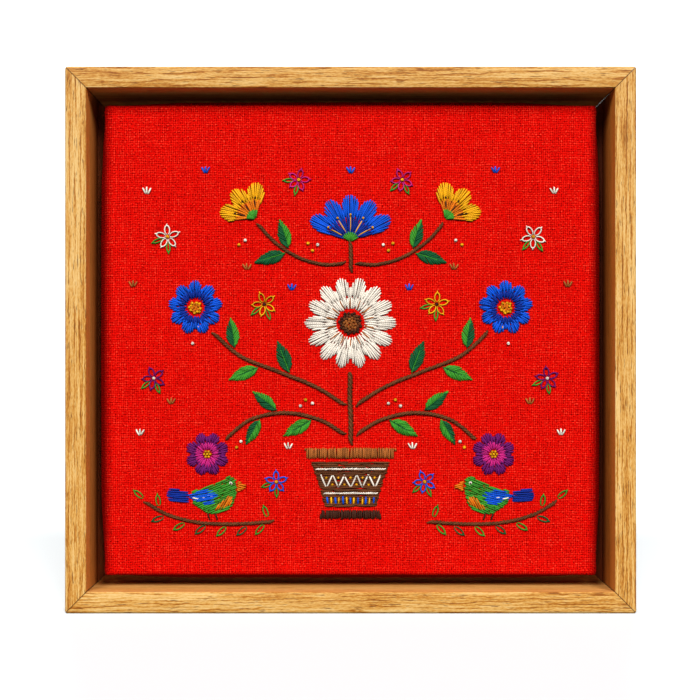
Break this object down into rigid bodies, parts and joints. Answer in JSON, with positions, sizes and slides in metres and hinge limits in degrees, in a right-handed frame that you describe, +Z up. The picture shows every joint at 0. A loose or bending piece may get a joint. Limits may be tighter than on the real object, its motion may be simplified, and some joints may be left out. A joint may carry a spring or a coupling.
{
  "type": "embroidered picture in a floating oak frame",
  "caption": "Square-ish embroidered linen picture on a stretcher, set in a deep oak tray frame with a shadow gap round it.",
  "frame": {"origin": "middle of the underside, where the picture stands", "axes": "+X to the picture's right as it is looked at, +Y from its face to its back, +Z up"},
  "size_m": [0.326, 0.04, 0.312],
  "materials": {
    "oak": "light oak, fine satin oil",
    "pine": "bare planed pine",
    "linen": "plain-woven red linen with slubs",
    "steel": "zinc-plated, dull",
    "thread_cream": "stranded cotton, soft sheen",
    "thread_tan": "stranded cotton, soft sheen",
    "thread_brown": "stranded cotton, soft sheen",
    "thread_dark_brown": "stranded cotton, soft sheen",
    "thread_green": "stranded cotton, soft sheen",
    "thread_dark_green": "stranded cotton, soft sheen",
    "thread_blue": "stranded cotton, soft sheen",
    "thread_yellow": "stranded cotton, soft sheen",
    "thread_purple": "stranded cotton, soft sheen"
  },
  "bodies": {
    "root": {"aster_left": "thread_purple", "aster_right": "thread_purple", "bell_flower_left": "thread_yellow", "bell_flower_right": "thread_yellow", "bird_left": "thread_green", "bird_right": "thread_green", "branch_high_left": "thread_brown", "branch_high_right": "thread_brown", "branch_low_left": "thread_brown", "branch_low_right": "thread_brown", "branch_middle_left": "thread_brown", "branch_middle_right": "thread_brown", "cornflower_eye_left": "thread_yellow", "cornflower_eye_right": "thread_yellow", "cornflower_left": "thread_blue", "cornflower_right": "thread_blue", "crown_flower": "thread_blue", "daisy": "thread_cream", "daisy_eye": "thread_dark_brown", "frame_bottom": "oak", "frame_left": "oak", "frame_right": "oak", "frame_top": "oak", "leaf_high_top_left": "thread_green", "leaf_high_top_right": "thread_green", "leaf_high_under_left": "thread_dark_green", "leaf_high_under_right": "thread_dark_green", "leaf_low_inner_left": "thread_green", "leaf_low_inner_right": "thread_green", "leaf_low_outer_left": "thread_dark_green", "leaf_low_outer_right": "thread_dark_green", "leaf_low_top_left": "thread_green", "leaf_low_top_right": "thread_green", "leaf_middle_inner_left": "thread_dark_green", "leaf_middle_inner_right": "thread_dark_green", "leaf_middle_top_left": "thread_green", "leaf_middle_top_right": "thread_green", "leaf_middle_under_left": "thread_green", "leaf_middle_under_right": "thread_green", "linen_cloth": "linen", "pot_body": "thread_brown", "pot_foot": "thread_dark_brown", "pot_rim": "thread_tan", "screw_bottom_1": "steel", "screw_bottom_2": "steel", "screw_left_1": "steel", "screw_left_2": "steel", "screw_right_1": "steel", "screw_right_2": "steel", "screw_top_1": "steel", "screw_top_2": "steel", "stem_lower": "thread_brown", "stem_upper": "thread_brown", "stretcher_bottom": "pine", "stretcher_left": "pine", "stretcher_right": "pine", "stretcher_top": "pine", "twig_left": "thread_brown", "twig_right": "thread_brown"}
  },
  "joints": []
}
